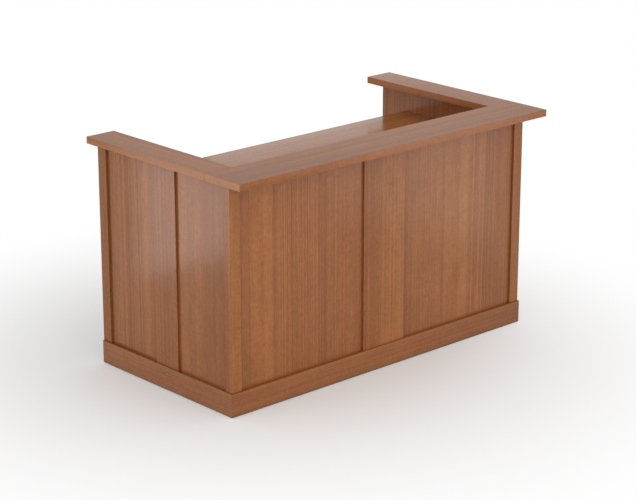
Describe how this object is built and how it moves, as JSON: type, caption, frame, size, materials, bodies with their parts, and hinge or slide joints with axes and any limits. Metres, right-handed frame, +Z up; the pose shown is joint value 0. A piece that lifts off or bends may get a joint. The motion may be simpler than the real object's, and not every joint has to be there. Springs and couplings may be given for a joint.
{
  "type": "judges bench",
  "caption": "Free-standing panelled timber bench with a front and two side walls, a flat overhanging cap, a plinth on levelling glides, and a worktop behind.",
  "frame": {"origin": "on the floor under the middle of the cap", "axes": "+X to the right as the public sees it, +Y from the public front to the open working side, +Z up"},
  "size_m": [1.873, 1.048, 1.07],
  "materials": {
    "panel_veneer": "satin lacquered veneer, grain upright",
    "trim_wood": "satin lacquer",
    "cap_wood": "satin lacquer, grain lengthwise",
    "worktop_wood": "satin lacquer, grain lengthwise",
    "fixing_timber": "sealed, not polished",
    "beech_dowel": "bare",
    "zinc_steel": "zinc plated",
    "black_nylon": "moulded, matt"
  },
  "bodies": {
    "bench": {"front_panel_left": "panel_veneer", "front_panel_right": "panel_veneer", "left_side_panel": "panel_veneer", "right_side_panel": "panel_veneer", "centre_rib": "panel_veneer", "left_corner_post": "trim_wood", "right_corner_post": "trim_wood", "left_rear_stile": "trim_wood", "right_rear_stile": "trim_wood", "front_centre_batten": "trim_wood", "left_centre_batten": "trim_wood", "right_centre_batten": "trim_wood", "front_plinth": "trim_wood", "left_plinth": "trim_wood", "right_plinth": "trim_wood", "left_panel_lipping": "trim_wood", "right_panel_lipping": "trim_wood", "worktop_lipping": "trim_wood", "front_cap": "cap_wood", "left_cap": "cap_wood", "right_cap": "cap_wood", "worktop": "worktop_wood", "front_panel_tongue": "fixing_timber", "front_cap_cleat": "fixing_timber", "left_cap_cleat": "fixing_timber", "right_cap_cleat": "fixing_timber", "front_worktop_cleat_left": "fixing_timber", "front_worktop_cleat_right": "fixing_timber", "left_worktop_cleat": "fixing_timber", "right_worktop_cleat": "fixing_timber", "rib_cleat_left": "fixing_timber", "rib_cleat_right": "fixing_timber", "left_corner_block_lower": "fixing_timber", "left_corner_block_upper": "fixing_timber", "right_corner_block_lower": "fixing_timber", "right_corner_block_upper": "fixing_timber", "left_cap_dowel_outer": "beech_dowel", "left_cap_dowel_inner": "beech_dowel", "right_cap_dowel_outer": "beech_dowel", "right_cap_dowel_inner": "beech_dowel", "left_front_insert": "zinc_steel", "left_side_insert": "zinc_steel", "left_rear_insert": "zinc_steel", "right_front_insert": "zinc_steel", "right_side_insert": "zinc_steel", "right_rear_insert": "zinc_steel"},
    "left_front_glide": {"left_front_glide": "black_nylon"},
    "left_side_glide": {"left_side_glide": "black_nylon"},
    "left_rear_glide": {"left_rear_glide": "black_nylon"},
    "right_front_glide": {"right_front_glide": "black_nylon"},
    "right_side_glide": {"right_side_glide": "black_nylon"},
    "right_rear_glide": {"right_rear_glide": "black_nylon"}
  },
  "joints": [
    {"name": "left_front_glide_screw", "type": "slide", "parent": "bench", "child": "left_front_glide", "axis": [0, 0, -1], "range_m": [0, 0.012]},
    {"name": "left_side_glide_screw", "type": "slide", "parent": "bench", "child": "left_side_glide", "axis": [0, 0, -1], "range_m": [0, 0.012]},
    {"name": "left_rear_glide_screw", "type": "slide", "parent": "bench", "child": "left_rear_glide", "axis": [0, 0, -1], "range_m": [0, 0.012]},
    {"name": "right_front_glide_screw", "type": "slide", "parent": "bench", "child": "right_front_glide", "axis": [0, 0, -1], "range_m": [0, 0.012]},
    {"name": "right_side_glide_screw", "type": "slide", "parent": "bench", "child": "right_side_glide", "axis": [0, 0, -1], "range_m": [0, 0.012]},
    {"name": "right_rear_glide_screw", "type": "slide", "parent": "bench", "child": "right_rear_glide", "axis": [0, 0, -1], "range_m": [0, 0.012]}
  ]
}
